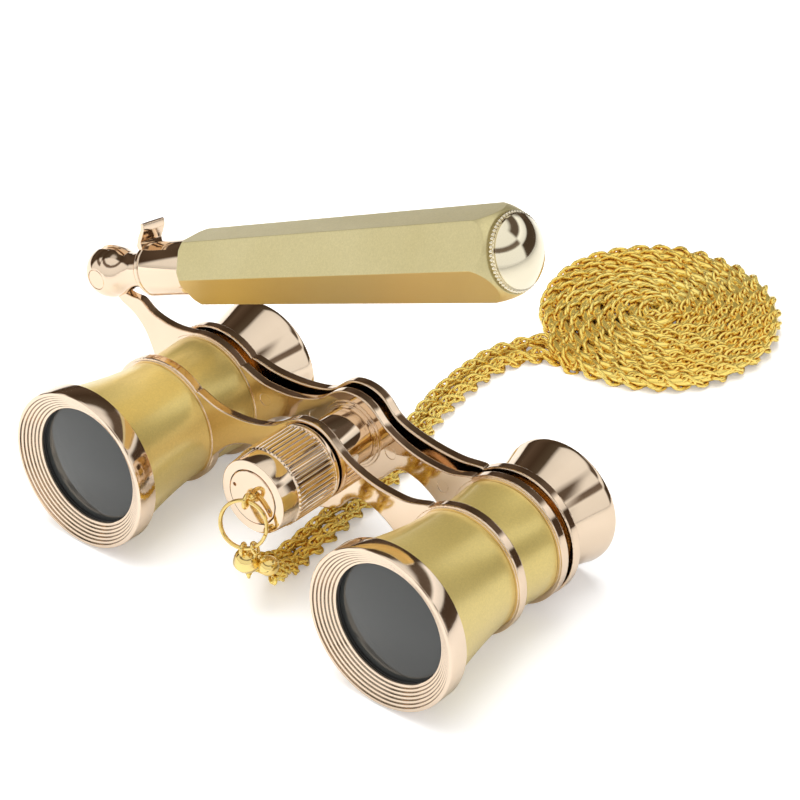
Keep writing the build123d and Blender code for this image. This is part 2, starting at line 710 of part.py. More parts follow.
# Eyelet: loop on a stem that turns in the knob's end disc.
with BuildPart() as chain_eyelet:
    with BuildSketch(focus_half):
        with BuildLine():
            Polyline((0, 7.30), (0.62, 7.30), (0.80, 7.65), (0.80, 9.76),
                     (1.60, 9.76), (1.60, 10.50), (0, 10.50), close=True)
        make_face()
    revolve(axis=focus_axis)
    # loop
    with BuildSketch(Plane(origin=loop_centre, x_dir=(0, 0, 1), z_dir=ring_normal)):
        with Locations((1.18, 0)):
            Circle(0.42)
    revolve(axis=Axis(loop_centre, ring_across))
    # short neck between stem and loop
    with BuildSketch(across(7.45)):
        with Locations(focus_centre):
            Circle(0.60)
    extrude(amount=0.24)
save(chain_eyelet.part, "chain_eyelet")

# Split ring through the eyelet.
with BuildPart() as split_ring:
    with BuildSketch(Plane(origin=ring_centre, x_dir=ring_across, z_dir=ring_down)):
        with Locations((ring_mean_r, 0)):
            Circle(ring_wire_r)
    revolve(axis=Axis(ring_centre, ring_normal))
save(split_ring.part, "split_ring")

# Chain ends: a small loop round the ring's wire, a neck and a ball.
# Columns: tag, angle round the split ring, point it hangs towards,
# distance from wire to ball centre, ball radius.
chain_ends = (("a", 5.0, (1.30, 6.00, -5.35), 4.00, 2.25),
              ("b", 34.0, (5.40, 7.00, -5.10), 5.05, 1.75))
loop_drop = 0.35          # wire to the small loop's centre
neck_drop = 1.30          # loop centre to the neck's start
for tag, ring_angle, target, drop, end_ball_r in chain_ends:
    wire_point, wire_dir = on_ring(ring_angle)
    # hang square to the wire
    reach = Vector(*target) - wire_point
    down = (reach - wire_dir * reach.dot(wire_dir)).normalized()
    side_dir = down.cross(wire_dir).normalized()
    loop_at = wire_point + down * loop_drop
    ball_at = wire_point + down * drop
    with BuildPart() as chain_end:
        # loop
        with BuildSketch(Plane(origin=loop_at, x_dir=down, z_dir=side_dir)):
            with Locations((1.10, 0)):
                Circle(0.34)
        revolve(axis=Axis(loop_at, wire_dir))
        # ball
        with BuildSketch(Plane(origin=ball_at, x_dir=side_dir, z_dir=wire_dir)):
            with BuildLine():
                ThreePointArc((0, -end_ball_r), (end_ball_r, 0), (0, end_ball_r))
                Line((0, end_ball_r), (0, -end_ball_r))
            make_face()
        revolve(axis=Axis(ball_at, down))
        # neck, widening towards the ball
        with BuildSketch(Plane(origin=loop_at + down * neck_drop, x_dir=wire_dir,
                               z_dir=down)):
            Circle(0.75)
        extrude(amount=drop - loop_drop - neck_drop - 0.5 * end_ball_r, taper=-8)
    save(chain_end.part, f"chain_end_{tag}")

# Chain: two strands side by side run back under the bridges on the table,
# then into a flat coil.  Plain solids with the chain's outline and place.
# Each strand: tag, hanging stations (X, Y, Z), then stations on the table (X, Y).
strands = (
    ("a",
     [(-0.5, 11.4, -9.4), (-1.6, 14.6, -11.9), (-2.6, 19.0, -13.7)],
     [(-3.0, 25.0), (-3.6, 33.0), (-4.4, 42.0), (-5.0, 52.0), (-7.3, 61.5),
      (-9.9, 69.5), (-11.6, 77.0), (-12.5, 85.0), (-12.6, 92.0), (-11.9, 98.8),
      (-9.9, 103.6)]),
    ("b",
     [(3.0, 13.4, -10.2), (2.0, 16.2, -12.2), (1.0, 20.0, -13.6)],
     [(0.4, 25.6), (-0.2, 33.0), (-1.0, 42.0), (-1.7, 51.0), (-4.0, 60.0),
      (-6.6, 68.4), (-8.3, 76.4), (-9.2, 85.0), (-9.2, 91.6), (-8.4, 97.4),
      (-6.6, 100.8)]),
)
for tag, hanging, lying in strands:
    stations = hanging + [(x, y, rest_z(y) + strand_r + 0.12) for x, y in lying]
    with BuildPart() as chain_strand:
        with BuildLine() as run:
            Spline(*stations)
        with BuildSketch(Plane(origin=run.line @ 0, z_dir=run.line % 0)):
            Circle(strand_r)
        sweep(path=run.line)
    save(chain_strand.part, f"chain_strand_{tag}")

# Coil: a flat round-edged disc lying on the table plane.
coil_plane = Plane(origin=(coil_x, coil_y, rest_z(coil_y) + 0.10),
                   x_dir=(1, 0, 0), z_dir=(0, -rest_slope, 1))
with BuildPart() as chain_coil:
    with BuildSketch(coil_plane):
        Circle(coil_r)
    extrude(amount=coil_h)
    fillet(chain_coil.edges(), 1.2)
save(chain_coil.part, "chain_coil")
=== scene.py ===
"""Opera glasses with a long handle and a chain lanyard, lying on a white floor.

The barrels lie along Y, with the objectives at the -Y end and the eyecups at the +Y end. The
left barrel is at -X. The focus knob is on x = 0. The handle starts on the left and rises towards
+X. The chain hangs from the knob and lies coiled on the floor beyond the eyecups. The floor
slopes, since it touches the wide bezels and the narrower eyecups.
Lengths are in millimetres up to the stage, which is in metres.
"""

import bmesh
import bpy
import json
import math
import random
import numpy as np
from mathutils import Matrix, Vector

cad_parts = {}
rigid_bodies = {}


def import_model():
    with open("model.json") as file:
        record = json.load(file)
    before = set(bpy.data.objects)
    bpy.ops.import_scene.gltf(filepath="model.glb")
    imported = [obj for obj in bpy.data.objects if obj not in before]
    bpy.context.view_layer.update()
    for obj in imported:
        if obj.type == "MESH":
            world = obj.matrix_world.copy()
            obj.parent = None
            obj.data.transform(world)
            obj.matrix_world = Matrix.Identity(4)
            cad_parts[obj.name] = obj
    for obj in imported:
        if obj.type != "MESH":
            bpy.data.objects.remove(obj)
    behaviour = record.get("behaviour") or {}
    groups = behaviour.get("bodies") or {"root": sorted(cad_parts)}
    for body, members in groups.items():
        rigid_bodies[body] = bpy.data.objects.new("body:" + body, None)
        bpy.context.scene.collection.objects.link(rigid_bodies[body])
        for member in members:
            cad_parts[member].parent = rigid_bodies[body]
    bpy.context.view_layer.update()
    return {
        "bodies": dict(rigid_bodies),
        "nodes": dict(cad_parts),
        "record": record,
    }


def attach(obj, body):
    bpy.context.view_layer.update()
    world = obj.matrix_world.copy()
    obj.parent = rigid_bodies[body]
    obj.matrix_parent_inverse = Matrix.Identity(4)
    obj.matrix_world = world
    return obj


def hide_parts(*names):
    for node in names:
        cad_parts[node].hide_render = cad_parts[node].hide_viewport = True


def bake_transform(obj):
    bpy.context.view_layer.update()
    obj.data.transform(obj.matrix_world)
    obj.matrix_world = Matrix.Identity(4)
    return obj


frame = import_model()
nodes = frame["nodes"]
scene = bpy.context.scene
MM = 0.001
FULL_TURN = 2 * math.pi

# ---------------------------------------------------------- driving dimensions
X = (1, 0, 0)
Y = (0, 1, 0)
BARREL_X = 36.94
BEZEL_RADIUS = 16.27
BEZEL_END_Y = 4.32
EYECUP_RADIUS = 12.85
EYECUP_END_Y = 54.12
EYECUP_REST_INSET = 0.3  # the eyecup touches the floor this far from its end

KNOB_Z = 7.15
FOCUS_ORIGIN = (0, 0, KNOB_Z)

HANDLE_PIVOT = np.array([-63.55, 37.60, 17.32])
HANDLE_LEAN = math.radians(23.5)
HANDLE_AXIS = np.array([math.cos(HANDLE_LEAN), 0.0, math.sin(HANDLE_LEAN)])
HANDLE_ACROSS = np.array([-math.sin(HANDLE_LEAN), 0.0, math.cos(HANDLE_LEAN)])
HANDLE_SIDE = np.array([0.0, 1.0, 0.0])

REST_SLOPE = (BEZEL_RADIUS - EYECUP_RADIUS) / (EYECUP_END_Y - EYECUP_REST_INSET - BEZEL_END_Y)


def rest_z(y):
    """Height of the floor at y."""
    return -BEZEL_RADIUS + REST_SLOPE * (y - BEZEL_END_Y)


# ---------------------------------------------------------------- shader nodes
def set_inputs(shader_node, inputs):
    """Links each input that is given a socket, and sets the others to plain values."""
    for key, value in inputs.items():
        socket = shader_node.inputs[key]
        if isinstance(value, bpy.types.NodeSocket):
            shader_node.id_data.links.new(value, socket)
        else:
            socket.default_value = value


def add(tree, kind, inputs=None, **settings):
    new = tree.nodes.new(kind)
    for key, value in settings.items():
        setattr(new, key, value)
    set_inputs(new, inputs or {})
    return new


def new_surface(name):
    """Empty material with one principled shader: returns material, node tree and shader."""
    material = bpy.data.materials.new(name)
    material.use_nodes = True
    tree = material.node_tree
    tree.nodes.clear()
    output = add(tree, "ShaderNodeOutputMaterial")
    shader = add(tree, "ShaderNodeBsdfPrincipled")
    set_inputs(output, {"Surface": shader.outputs["BSDF"]})
    return material, tree, shader


def object_coords(tree):
    coords = add(tree, "ShaderNodeTexCoord").outputs["Object"]
    mapping = add(tree, "ShaderNodeMapping", {"Vector": coords, "Scale": (1, 1, 1)})
    return mapping.outputs["Vector"]


def grey(value):
    return (value, value, value)


def ramp(tree, factor, stops):
    """Colour ramp through stops of (position, colour)."""
    new = add(tree, "ShaderNodeValToRGB", {"Fac": factor})
    elements = new.color_ramp.elements
    while len(elements) > 1:
        elements.remove(elements[-1])
    elements[0].position = stops[0][0]
    elements[0].color = (*stops[0][1], 1)
    for position, colour in stops[1:]:
        elements.new(position).color = (*colour, 1)
    return new.outputs["Color"]


def noise(tree, vector, scale, detail=3.0, roughness=0.55):
    inputs = {"Scale": scale, "Detail": detail, "Roughness": roughness, "Vector": vector}
    return add(tree, "ShaderNodeTexNoise", inputs).outputs["Fac"]


def map_range(tree, value, from_min=0.0, from_max=1.0, to_min=0.0, to_max=1.0, smooth=False):
    inputs = {"Value": value, "From Min": from_min, "From Max": from_max,
              "To Min": to_min, "To Max": to_max}
    kind = "SMOOTHSTEP" if smooth else "LINEAR"
    return add(tree, "ShaderNodeMapRange", inputs, interpolation_type=kind).outputs["Result"]


def mix_colours(tree, first, second, factor, blend="MIX"):
    inputs = {"Factor": factor, "A": first, "B": second}
    mix = add(tree, "ShaderNodeMix", inputs, data_type="RGBA", blend_type=blend)
    return mix.outputs["Result"]


def bump_normal(tree, height, strength, distance, **more):
    inputs = {"Strength": strength, "Distance": distance, "Height": height, **more}
    return add(tree, "ShaderNodeBump", inputs).outputs["Normal"]


# ------------------------------------------------------------------- materials
def metal(name, low, high, roughness, wear, bump, metallic=1.0, bevel=0.0, sparkle=0.0,
          coat=0.0, under=None, painted_groove_shade=None):
    """Plated metal whose colour wanders from low to high.

    wear is the roughness added by smudges and hairlines. bevel softens edges, in mm. sparkle
    varies the brightness of fine flakes. under is painted reflected light: faces turned down
    get this colour. painted_groove_shade is painted shade: it multiplies the colour in the bottoms
    of grooves.
    """
    material, tree, shader = new_surface(name)
    plain = object_coords(tree)
    hair_coords = object_coords(tree)
    colour = ramp(tree, noise(tree, plain, scale=55.0, detail=4.0), [(0.30, low), (0.70, high)])
    if sparkle:
        cells = add(tree, "ShaderNodeTexVoronoi", {"Scale": 3800.0, "Vector": plain})
        flakes = ramp(tree, cells.outputs["Color"], [
            (0.0, grey(1 - sparkle)), (0.55, grey(1.0)), (1.0, grey(1 + sparkle))])
        colour = mix_colours(tree, colour, flakes, factor=1.0, blend="MULTIPLY")
    # painted reflected light: faces turned down take on the under colour
    if under:
        geometry = add(tree, "ShaderNodeNewGeometry")
        normal = add(tree, "ShaderNodeSeparateXYZ", {"Vector": geometry.outputs["Normal"]})
        painted_reflection_share = map_range(tree, normal.outputs["Z"], from_min=0.05, from_max=-0.50,
                                smooth=True)
        colour = mix_colours(tree, colour, (*under, 1), factor=painted_reflection_share)
    if painted_groove_shade:
        # painted shade: the colour darkens where ambient occlusion finds grooves and crevices
        occlusion = add(tree, "ShaderNodeAmbientOcclusion", {"Distance": 0.45 * MM}, samples=6)
        shade = ramp(tree, occlusion.outputs["AO"], [(0.30, painted_groove_shade), (0.85, grey(1.0))])
        colour = mix_colours(tree, colour, shade, factor=1.0, blend="MULTIPLY")
    smudges = noise(tree, plain, scale=130.0, detail=5.0, roughness=0.65)
    hairlines = noise(tree, hair_coords, scale=2500.0, detail=2.0, roughness=0.5)
    worn = add(tree, "ShaderNodeMath", {0: smudges, 1: hairlines}, operation="MULTIPLY")
    softened = {}
    if bevel:
        edges = add(tree, "ShaderNodeBevel", {"Radius": bevel * MM}, samples=4)
        softened["Normal"] = edges.outputs["Normal"]
    set_inputs(shader, {
        "Metallic": metallic,
        "Base Color": colour,
        "Roughness": map_range(tree, worn.outputs[0], from_min=0.12, from_max=0.45,
                               to_min=roughness, to_max=roughness + wear),
        "Normal": bump_normal(tree, hairlines, strength=bump, distance=0.00004, **softened),
    })
    if coat:
        set_inputs(shader, {"Coat Weight": coat, "Coat Roughness": 0.12})
    return material


def black(name, roughness):
    """Black finish with a fine grain in its colour, roughness and relief."""
    material, tree, shader = new_surface(name)
    grain = noise(tree, object_coords(tree), scale=900.0, detail=4.0, roughness=0.6)
    set_inputs(shader, {
        "Base Color": ramp(tree, grain, [(0.3, grey(0.008)), (0.75, (0.022, 0.021, 0.020))]),
        "Roughness": map_range(tree, grain, to_min=roughness - 0.08, to_max=roughness + 0.12),
        "Normal": bump_normal(tree, grain, strength=0.25, distance=0.00005),
    })
    return material


def lens_glass():
    """Dark coated glass with a painted sheen: its colour grows paler at grazing angles."""
    material, tree, shader = new_surface("optical_glass")
    coords = object_coords(tree)
    facing = add(tree, "ShaderNodeLayerWeight", {"Blend": 0.35}).outputs["Facing"]
    # painted sheen: the colour grows paler from face-on to grazing
    grazing_sheen_tint = ramp(tree, facing, [
        (0.0, (0.042, 0.043, 0.042)), (0.55, (0.062, 0.064, 0.062)), (1.0, (0.12, 0.123, 0.118))])
    haze = ramp(tree, noise(tree, coords, scale=60.0), [(0.3, grey(0.75)), (0.7, grey(1.0))])
    set_inputs(shader, {
        "Base Color": mix_colours(tree, grazing_sheen_tint, haze, factor=0.35, blend="MULTIPLY"),
        "Roughness": 0.03,
        "IOR": 1.52,
        "Specular IOR Level": 0.5,
        "Coat Weight": 0.15,
        "Coat Roughness": 0.02,
        "Coat Tint": (0.86, 0.93, 0.88, 1),
    })
    return material


POLISH = metal("polished_rose_gold", low=(0.82, 0.655, 0.485), high=(0.87, 0.71, 0.54),
               roughness=0.035, wear=0.06, bump=0.015)
POLISH_EDGE = metal("polished_rose_gold_plate", low=(0.82, 0.645, 0.475), high=(0.87, 0.70, 0.53),
                    roughness=0.045, wear=0.06, bump=0.015, bevel=0.22)
# the bezel's ring grooves get painted shade
RINGS = metal("turned_rose_gold", low=(0.83, 0.665, 0.505), high=(0.88, 0.72, 0.56),
              roughness=0.06, wear=0.07, bump=0.02, painted_groove_shade=grey(0.20))
PALE = metal("polished_pale_gold", low=(0.86, 0.78, 0.58), high=(0.91, 0.84, 0.66),
             roughness=0.05, wear=0.06, bump=0.02)
PEARL = metal("pearl_gold_enamel", low=(0.745, 0.585, 0.19), high=(0.775, 0.615, 0.21),
              roughness=0.29, wear=0.05, bump=0.03, metallic=0.52, sparkle=0.06, coat=0.35)
SATIN = metal("satin_champagne", low=(0.62, 0.54, 0.275), high=(0.67, 0.59, 0.32),
              roughness=0.36, wear=0.08, bump=0.12, metallic=0.75, bevel=0.35, sparkle=0.06,
              # painted reflected light on the faces turned down
              under=(0.74, 0.53, 0.19))
YELLOW = metal("yellow_gold", low=(0.86, 0.64, 0.22), high=(0.92, 0.72, 0.30),
               roughness=0.09, wear=0.08, bump=0.03)
# the crevices between the chain links get painted shade
CHAIN = metal("gold_chain", low=(0.97, 0.70, 0.145), high=(1.0, 0.82, 0.25),
              roughness=0.15, wear=0.10, bump=0.05, metallic=0.76, painted_groove_shade=(0.80, 0.54, 0.30))
BRASS = metal("tube_brass", low=(0.72, 0.46, 0.16), high=(0.80, 0.54, 0.21),
              roughness=0.22, wear=0.12, bump=0.10)
STEEL = metal("spring_steel", low=(0.46, 0.46, 0.47), high=(0.58, 0.58, 0.60),
              roughness=0.20, wear=0.10, bump=0.05)
BLACK_METAL = black("blackened_metal", roughness=0.38)
BLACK_PLASTIC = black("black_plastic", roughness=0.5)
GLASS = lens_glass()

MATERIAL_OF_SLOT = {
    "polished_rose_gold": POLISH_EDGE,
    "pearl_gold_enamel": PEARL,
    "satin_champagne": SATIN,
    "yellow_gold": YELLOW,
    "gold_chain": CHAIN,
    "optical_glass": GLASS,
    "blackened_metal": BLACK_METAL,
    "black_plastic": BLACK_PLASTIC,
    "tube_brass": BRASS,
    "spring_steel": STEEL,
}
slot_of = {part["node"]: part["material_slot"] for part in frame["record"]["subparts"]}
body_of = {name: body for body, names in frame["record"]["behaviour"]["bodies"].items()
           for name in names}


def shade_smooth(mesh):
    mesh.polygons.foreach_set("use_smooth", [True] * len(mesh.polygons))


def mark_sharp(mesh, degrees):
    mesh.set_sharp_from_angle(angle=math.radians(degrees))


for name, obj in nodes.items():
    obj.data.materials.clear()
    obj.data.materials.append(MATERIAL_OF_SLOT[slot_of[name]])
    shade_smooth(obj.data)
    mark_sharp(obj.data, 32)


# ------------------------------------------------------------ curves and profiles
def unit(vector):
    vector = np.array(vector, float)
    return vector / np.linalg.norm(vector)


def rounded(points, closed=True, steps=4):
    """Profile with its corners rounded: points are (radius, height, corner radius)."""
    profile = []
    count = len(points)
    for i, (radius, height, fillet) in enumerate(points):
        if fillet <= 0 or (not closed and i in (0, count - 1)):
            profile.append((radius, height))
            continue
        corner = np.array([radius, height])
        before = np.array(points[i - 1][:2]) - corner
        after = np.array(points[(i + 1) % count][:2]) - corner
        length_before, length_after = np.linalg.norm(before), np.linalg.norm(after)
        before, after = before / length_before, after / length_after
        half = math.acos(max(-1, min(1, float(before @ after)))) / 2
        if half > math.radians(88):  # nearly straight
            profile.append((radius, height))
            continue
        cut = min(fillet / math.tan(half), 0.48 * length_before, 0.48 * length_after)
        arc_radius = cut * math.tan(half)
        middle = (before + after) / np.linalg.norm(before + after)
        centre = corner + middle * arc_radius / math.sin(half)
        first, last = corner + before * cut - centre, corner + after * cut - centre
        start = math.atan2(first[1], first[0])
        turn = math.atan2(first[0] * last[1] - first[1] * last[0], float(first @ last))
        for k in range(steps + 1):
            angle = start + turn * k / steps
            profile.append((centre[0] + arc_radius * math.cos(angle),
                            centre[1] + arc_radius * math.sin(angle)))
    return profile


def chord_lengths(points):
    """Distance along the points from the first to each of them."""
    return np.concatenate([[0], np.cumsum(np.linalg.norm(np.diff(points, axis=0), axis=1))])


def smooth_curve(points, samples):
    """Points along a natural cubic through the given ones, parameterised by chord."""
    knots = np.array(points, float)
    along = chord_lengths(knots)
    count = len(knots)
    gaps = np.diff(along)
    system = np.zeros((count, count))
    target = np.zeros((count, knots.shape[1]))
    system[0, 0] = system[-1, -1] = 1
    for i in range(1, count - 1):
        system[i, i - 1] = gaps[i - 1]
        system[i, i] = 2 * (gaps[i - 1] + gaps[i])
        system[i, i + 1] = gaps[i]
        target[i] = 6 * ((knots[i + 1] - knots[i]) / gaps[i]
                         - (knots[i] - knots[i - 1]) / gaps[i - 1])
    second = np.linalg.solve(system, target)  # second derivatives at the knots
    curve = []
    for place in np.linspace(0, along[-1], samples):
        i = min(max(np.searchsorted(along, place, side="right") - 1, 0), count - 2)
        to_next, from_last, gap = along[i + 1] - place, place - along[i], gaps[i]
        curve.append((second[i] * to_next**3 + second[i + 1] * from_last**3) / (6 * gap)
                     + (knots[i] / gap - second[i] * gap / 6) * to_next
                     + (knots[i + 1] / gap - second[i + 1] * gap / 6) * from_last)
    return curve


def circle(centre, first_axis, second_axis, radius, count):
    return [centre + radius * (first_axis * math.cos(a) + second_axis * math.sin(a))
            for a in np.linspace(0, FULL_TURN, count + 1)[:-1]]


# --------------------------------------------------------------- mesh builders
def mesh_object(name, verts, faces, material):
    """Smooth mesh object: verts are in metres."""
    mesh = bpy.data.meshes.new(name)
    mesh.from_pydata([tuple(v) for v in verts], [], faces)
    mesh.update()
    shade_smooth(mesh)
    obj = bpy.data.objects.new(name, mesh)
    mesh.materials.append(material)
    scene.collection.objects.link(obj)
    return obj


def fix_normals(obj):
    bm = bmesh.new()
    bm.from_mesh(obj.data)
    bmesh.ops.recalc_face_normals(bm, faces=bm.faces)
    bm.to_mesh(obj.data)
    bm.free()


def lathe(name, profile, origin, material, seg, axis=Y, radial=X, closed=True, sharp=28,
          groove=None):
    """Turns a profile of (radius, height) about an axis.

    A point on the axis becomes a single vertex. groove(angle, radius, height) gives another
    radius.
    """
    origin, axis, radial = (np.array(v, float) for v in (origin, axis, radial))
    side = np.cross(axis, radial)
    verts, rings, faces = [], [], []
    for radius, height in profile:
        if radius < 1e-6:
            rings.append([len(verts)])
            verts.append((origin + axis * height) * MM)
            continue
        rings.append(range(len(verts), len(verts) + seg))
        for k in range(seg):
            angle = FULL_TURN * k / seg
            reach = groove(angle, radius, height) if groove else radius
            outward = radial * math.cos(angle) + side * math.sin(angle)
            verts.append((origin + axis * height + outward * reach) * MM)
    pairs = list(zip(rings, rings[1:])) + ([(rings[-1], rings[0])] if closed else [])
    for a, b in pairs:
        if len(a) == 1:
            faces += [(a[0], b[k], b[(k + 1) % seg]) for k in range(seg)]
        elif len(b) == 1:
            faces += [(a[k], b[0], a[(k + 1) % seg]) for k in range(seg)]
        else:
            faces += [(a[k], b[k], b[(k + 1) % seg], a[(k + 1) % seg]) for k in range(seg)]
    obj = mesh_object(name, verts, faces, material)
    fix_normals(obj)
    mark_sharp(obj.data, sharp)
    return obj


# The part builders below return (vertices in mm, faces), for joined().
def ball_part(centre, radius, rows, cols):
    verts, faces = [], []
    for i in range(rows + 1):
        a = math.pi * i / rows
        for k in range(cols):
            b = FULL_TURN * k / cols
            verts.append(centre + radius * np.array(
                [math.sin(a) * math.cos(b), math.sin(a) * math.sin(b), math.cos(a)]))
    for i in range(rows):
        for k in range(cols):
            k2 = (k + 1) % cols
            faces.append((i * cols + k, i * cols + k2, (i + 1) * cols + k2, (i + 1) * cols + k))
    return verts, faces


def turned_part(profile, origin, axis, radial, seg, closed=True):
    origin, axis, radial = (np.array(v, float) for v in (origin, axis, radial))
    side = np.cross(axis, radial)
    verts, faces = [], []
    for radius, height in profile:
        for k in range(seg):
            angle = FULL_TURN * k / seg
            outward = radial * math.cos(angle) + side * math.sin(angle)
            verts.append(origin + axis * height + outward * max(radius, 1e-4))
    count = len(profile)
    for i in range(count if closed else count - 1):
        j = (i + 1) % count
        for k in range(seg):
            k2 = (k + 1) % seg
            faces.append((i * seg + k, j * seg + k, j * seg + k2, i * seg + k2))
    return verts, faces


def wire_part(points, radius, sides, closed=False):
    """Round bar along a list of points."""
    path = np.array(points, float)
    count = len(path)
    tangents = np.zeros_like(path)
    for i in range(count):
        before = path[(i - 1) % count] if closed or i > 0 else path[0]
        after = path[(i + 1) % count] if closed or i < count - 1 else path[-1]
        tangents[i] = (after - before) / max(np.linalg.norm(after - before), 1e-9)
    up = (0.0, 0.0, 1.0) if abs(tangents[0][2]) < 0.9 else (1.0, 0.0, 0.0)
    normal = unit(np.cross(tangents[0], up))
    verts, faces = [], []
    for place, tangent in zip(path, tangents):
        normal = unit(normal - tangent * (normal @ tangent))
        side = np.cross(tangent, normal)
        for k in range(sides):
            angle = FULL_TURN * k / sides
            verts.append(place + (normal * math.cos(angle) + side * math.sin(angle)) * radius)
    for i in range(count if closed else count - 1):
        j = (i + 1) % count
        for k in range(sides):
            k2 = (k + 1) % sides
            faces.append((i * sides + k, i * sides + k2, j * sides + k2, j * sides + k))
    if not closed:
        faces.append(tuple(range(sides - 1, -1, -1)))
        faces.append(tuple((count - 1) * sides + k for k in range(sides)))
    return verts, faces


def joined(name, parts, material, sharp=None):
    """One object from several parts. With a sharp angle its normals are made consistent too."""
    verts, faces = [], []
    for part_verts, part_faces in parts:
        base = len(verts)
        verts += [np.array(v) * MM for v in part_verts]
        faces += [tuple(i + base for i in face) for face in part_faces]
    obj = mesh_object(name, verts, faces, material)
    if sharp is not None:
        mark_sharp(obj.data, sharp)
        fix_normals(obj)
    return obj


def finish_piece(obj, node_name):
    """Moves with the body of the CAD piece that it stands in for."""
    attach(obj, body_of[node_name])
    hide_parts(node_name)


# --------------------------------------------------------------------- barrels
# Profiles are (radius, y), or (radius, y, corner radius) where they are rounded.
BEZEL_BORE = 13.10
BEZEL_SPIGOT = 13.95
BEZEL_SPIGOT_END = 9.50
BEZEL_FACE_RADIUS = 15.50
BEZEL_STEPS = 6
BEZEL_STEP_IN, BEZEL_STEP_BACK = 0.57, 0.40
BARREL_BORE = 11.10
FRONT_BARREL = [(15.35, 4.36), (14.22, 9.2), (13.28, 14.2), (12.58, 19.2), (12.17, 23.74)]
FRONT_BARREL_INSIDE = [(BARREL_BORE, 23.74), (BARREL_BORE, 18.20), (13.00, 10.20),
                       (14.00, 10.20), (14.00, 4.36)]
REAR_BARREL = [(11.85, 26.04), (11.80, 29.5), (11.92, 33.2), (12.16, 36.46)]
REAR_BARREL_INSIDE = [(BARREL_BORE, 36.46), (BARREL_BORE, 26.04)]
LENS_RADIUS = 12.5
LENS_RINGS = 12
LENS_FRONT_Y, LENS_FRONT_SAG = 2.80, 0.95
LENS_REAR_Y, LENS_REAR_SAG = 5.83, 0.58
EYECUP_BORE = 8.60
EYECUP_NECK = [(EYECUP_BORE, 37.2), (9.38, 37.2), (9.38, 42.14)]
EYECUP_CONE = [(10.25, 42.14), (10.85, 45.2), (11.75, 49.2), (EYECUP_RADIUS, 53.20)]
EYECUP_RIM = [(EYECUP_RADIUS, 53.20, 0), (EYECUP_RADIUS, EYECUP_END_Y, 0.38),
              (11.95, EYECUP_END_Y, 0.30), (11.90, 53.60, 0)]
EYECUP_INSIDE = [(9.45, 43.20), (EYECUP_BORE, 43.20)]


def bezel_profile():
    """Bezel whose front face steps inwards and back in small grooved rings."""
    points = [(BEZEL_SPIGOT, BEZEL_SPIGOT_END, 0.1), (BEZEL_SPIGOT, BEZEL_END_Y, 0),
              (BEZEL_RADIUS, BEZEL_END_Y, 0.16), (BEZEL_RADIUS, 0.0, 0.60),
              (BEZEL_FACE_RADIUS, 0.0, 0.05)]
    radius, y = BEZEL_FACE_RADIUS, 0.0
    for _ in range(BEZEL_STEPS):
        points += [(radius - 0.06, y + 0.44, 0.04), (radius - 0.18, y + 0.30, 0.06),
                   (radius - BEZEL_STEP_IN, y + BEZEL_STEP_BACK, 0.07)]
        radius, y = radius - BEZEL_STEP_IN, y + BEZEL_STEP_BACK
    points += [(12.0, 2.47, 0.04), (12.0, 2.90, 0.05), (BEZEL_BORE, 2.90, 0),
               (BEZEL_BORE, BEZEL_SPIGOT_END, 0)]
    return rounded(points, steps=3)


def lens_profile():
    rings = range(LENS_RINGS + 1)
    front = [(LENS_RADIUS * k / LENS_RINGS, LENS_FRONT_Y + LENS_FRONT_SAG * (k / LENS_RINGS) ** 2)
             for k in rings]
    rear = [(LENS_RADIUS * k / LENS_RINGS, LENS_REAR_Y - LENS_REAR_SAG * (k / LENS_RINGS) ** 2)
            for k in reversed(rings)]
    return front + rear


def eyecup_profile():
    rim = rounded(EYECUP_RIM, closed=False, steps=5)
    return EYECUP_NECK + smooth_curve(EYECUP_CONE, 18) + rim[1:] + EYECUP_INSIDE


def make_barrel(side, x):
    origin = (x, 0, 0)
    finish_piece(lathe(f"{side}_bezel", bezel_profile(), origin, RINGS, 192),
                 f"{side}_objective_bezel")
    finish_piece(lathe(f"{side}_barrel_front", smooth_curve(FRONT_BARREL, 26) + FRONT_BARREL_INSIDE,
                       origin, PEARL, 144), f"{side}_front_barrel")
    finish_piece(lathe(f"{side}_barrel_rear", smooth_curve(REAR_BARREL, 14) + REAR_BARREL_INSIDE,
                       origin, PEARL, 144), f"{side}_rear_barrel")
    finish_piece(lathe(f"{side}_objective_glass", lens_profile(), origin, GLASS, 128,
                       closed=False), f"{side}_objective_lens")
    finish_piece(lathe(f"{side}_eyecup_cone", eyecup_profile(), origin, POLISH, 168),
                 f"{side}_eyecup")


make_barrel("left", -BARREL_X)
make_barrel("right", BARREL_X)

# ---------------------------------------------------------------- focus pieces
FLUTES = 54
SEGMENTS_PER_FLUTE = 10
FLUTE_DEPTH = 0.30
FLUTE_SHARE = 0.78  # part of the pitch that the flute takes up
FLUTE_START, FLUTE_END = 12.40, 22.27
FLUTE_FADE = 0.25  # length over which the depth grows at each end
GRIP_RADIUS = 8.08
GRIP_EDGE = 7.90
GRIP_STATIONS = (12.52, 12.70, 14.5, 17.3, 20.2, 22.00, 22.18)
KNOB_FRONT = [(5.62, 8.15, 0.05), (7.44, 8.15, 0.22), (7.86, 12.05, 0.05), (7.70, 12.20, 0),
              (GRIP_EDGE, 12.40, 0)]
KNOB_TAIL = [(GRIP_EDGE, 22.30, 0), (7.70, 22.46, 0), (8.0, 22.62, 0.08), (8.0, 23.50, 0.25),
             (3.02, 23.50, 0)]
KNOB_INSIDE = [(3.02, 21.9), (2.42, 21.9), (2.42, 11.2), (5.45, 11.2), (5.45, 8.75), (5.62, 8.65)]
CENTRE_TUBE = [(4.70, 26.02, 0), (5.70, 26.02, 0.05), (5.70, 36.58, 0.05), (4.70, 36.58, 0)]
CAP_RADIUS = 6.10
CAP_START, CAP_WALL_END = 42.13, 42.70
CAP_DOME_START, CAP_DOME_HEIGHT = 42.75, 1.45


